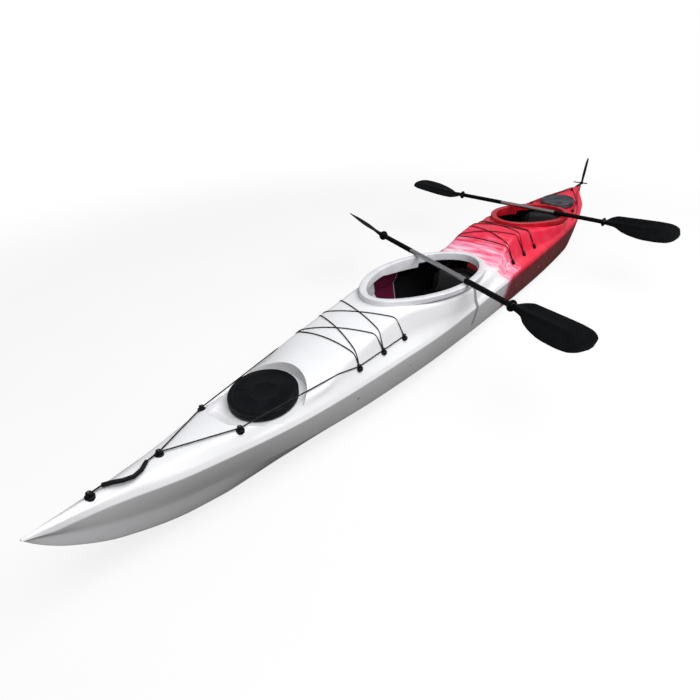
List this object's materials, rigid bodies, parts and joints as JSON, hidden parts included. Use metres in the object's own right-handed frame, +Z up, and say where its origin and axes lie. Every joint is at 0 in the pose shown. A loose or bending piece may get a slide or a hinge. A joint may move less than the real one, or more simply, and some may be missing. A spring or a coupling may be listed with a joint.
{
  "type": "sea kayak",
  "caption": "Long double-ended touring kayak with open cockpits, hatch covers, deck lines and a lifting rudder, with feathered paddles laid across it.",
  "frame": {"origin": "middle of the flat keel strip, on the boat's underside, midway between bow and stern", "axes": "+X towards the bow, +Y to port, +Z up"},
  "size_m": [5.328, 2.2333, 0.556],
  "materials": {
    "white_shell": "satin moulded polyethylene",
    "red_shell": "satin moulded polyethylene, fading to white forward",
    "deep_red": "satin moulded plastic",
    "black_plastic": "moulded nylon",
    "paddle_plastic": "moulded blades and grips, silver tube between",
    "soft_rubber": "moulded rubber",
    "closed_foam": "closed-cell foam",
    "seat_fabric": "coated woven cover over foam",
    "alloy": "anodised extrusion",
    "cord": "braided cord with pale flecks",
    "webbing": "woven webbing"
  },
  "bodies": {
    "boat": {"hull_shell": "white_shell", "deck_fore": "white_shell", "deck_mid": "red_shell", "deck_aft": "red_shell", "coaming_front": "white_shell", "coaming_rear": "deep_red", "bulkhead_front": "closed_foam", "bulkhead_rear": "closed_foam", "bow_handle": "soft_rubber", "side_strap": "webbing", "rudder_bracket": "black_plastic", "handle_eye_1": "black_plastic", "handle_eye_2": "black_plastic", "hatch_eye_port": "black_plastic", "hatch_eye_starboard": "black_plastic", "stern_eye": "black_plastic", "foredeck_eye_port_1": "black_plastic", "foredeck_eye_port_2": "black_plastic", "foredeck_eye_port_3": "black_plastic", "foredeck_eye_starboard_1": "black_plastic", "foredeck_eye_starboard_2": "black_plastic", "foredeck_eye_starboard_3": "black_plastic", "middeck_eye_port_1": "black_plastic", "middeck_eye_port_2": "black_plastic", "middeck_eye_port_3": "black_plastic", "middeck_eye_starboard_1": "black_plastic", "middeck_eye_starboard_2": "black_plastic", "middeck_eye_starboard_3": "black_plastic", "reardeck_eye_port_1": "black_plastic", "reardeck_eye_port_2": "black_plastic", "reardeck_eye_starboard_1": "black_plastic", "reardeck_eye_starboard_2": "black_plastic", "foredeck_lacing": "cord", "middeck_lacing": "cord", "foredeck_line": "cord", "stern_line": "cord", "rudder_cable_port": "cord", "rudder_cable_starboard": "cord", "seat_front": "black_plastic", "seat_pad_front": "seat_fabric", "foot_rail_front_port": "alloy", "foot_rail_front_starboard": "alloy", "seat_rear": "black_plastic", "seat_pad_rear": "seat_fabric", "foot_rail_rear_port": "alloy", "foot_rail_rear_starboard": "alloy"},
    "hatch_cover_front": {"hatch_cover_front": "soft_rubber"},
    "hatch_cover_rear": {"hatch_cover_rear": "soft_rubber"},
    "backrest_front": {"backrest_front": "black_plastic"},
    "backrest_rear": {"backrest_rear": "black_plastic"},
    "rudder_head": {"rudder_head": "black_plastic"},
    "rudder_blade": {"rudder_blade": "black_plastic"},
    "foot_pedal_front_port": {"foot_pedal_front_port": "black_plastic"},
    "paddle_front_port": {"paddle_front_port": "paddle_plastic"},
    "foot_pedal_front_starboard": {"foot_pedal_front_starboard": "black_plastic"},
    "paddle_front_starboard": {"paddle_front_starboard": "paddle_plastic"},
    "foot_pedal_rear_port": {"foot_pedal_rear_port": "black_plastic"},
    "paddle_rear_port": {"paddle_rear_port": "paddle_plastic"},
    "foot_pedal_rear_starboard": {"foot_pedal_rear_starboard": "black_plastic"},
    "paddle_rear_starboard": {"paddle_rear_starboard": "paddle_plastic"}
  },
  "joints": [
    {"name": "rudder_steer", "type": "hinge", "parent": "boat", "child": "rudder_head", "pos_m": [-2.619, 0, 0.28], "axis": [0, 0, 1], "range_deg": [-35, 35]},
    {"name": "rudder_lift", "type": "hinge", "parent": "rudder_head", "child": "rudder_blade", "pos_m": [-2.673, 0, 0.334], "axis": [0, -1, 0], "range_deg": [0, 150]},
    {"name": "hatch_front_lift", "type": "slide", "parent": "boat", "child": "hatch_cover_front", "axis": [0, 0, 1], "range_m": [0, 0.12]},
    {"name": "hatch_rear_lift", "type": "slide", "parent": "boat", "child": "hatch_cover_rear", "axis": [0, 0, 1], "range_m": [0, 0.12]},
    {"name": "backrest_front_fold", "type": "hinge", "parent": "boat", "child": "backrest_front", "pos_m": [-0.127, 0, 0.104], "axis": [0, 1, 0], "range_deg": [0, 20]},
    {"name": "backrest_rear_fold", "type": "hinge", "parent": "boat", "child": "backrest_rear", "pos_m": [-1.716, 0, 0.104], "axis": [0, 1, 0], "range_deg": [0, 20]},
    {"name": "foot_pedal_front_port_slide", "type": "slide", "parent": "boat", "child": "foot_pedal_front_port", "axis": [0.9963, -0.0819, 0.0267], "range_m": [-0.1, 0.1]},
    {"name": "foot_pedal_front_starboard_slide", "type": "slide", "parent": "boat", "child": "foot_pedal_front_starboard", "axis": [0.9963, 0.0819, 0.0267], "range_m": [-0.1, 0.1]},
    {"name": "foot_pedal_rear_port_slide", "type": "slide", "parent": "boat", "child": "foot_pedal_rear_port", "axis": [0.9992, 0.0083, 0.04], "range_m": [-0.046, 0.046]},
    {"name": "foot_pedal_rear_starboard_slide", "type": "slide", "parent": "boat", "child": "foot_pedal_rear_starboard", "axis": [0.9992, -0.0083, 0.04], "range_m": [-0.046, 0.046]},
    {"name": "paddle_front_lift", "type": "slide", "parent": "boat", "child": "paddle_front_port", "axis": [0, 0, 1], "range_m": [0, 0.3]},
    {"name": "paddle_front_feather", "type": "hinge", "parent": "paddle_front_port", "child": "paddle_front_starboard", "pos_m": [0.1879, -0.0107, 0.42942], "axis": [0.4851, 0.8733, 0.0456], "range_deg": [0, 51]},
    {"name": "paddle_rear_lift", "type": "slide", "parent": "boat", "child": "paddle_rear_port", "axis": [0, 0, 1], "range_m": [0, 0.3]},
    {"name": "paddle_rear_feather", "type": "hinge", "parent": "paddle_rear_port", "child": "paddle_rear_starboard", "pos_m": [-1.4281, -0.073, 0.3821], "axis": [0.1229, 0.9924, 0.0071], "range_deg": [0, 21]}
  ],
  "couplings": [
    {"joint": "foot_pedal_rear_port_slide", "follows": "rudder_steer", "m_per_rad": -0.0737},
    {"joint": "foot_pedal_rear_starboard_slide", "follows": "rudder_steer", "m_per_rad": 0.0737}
  ]
}
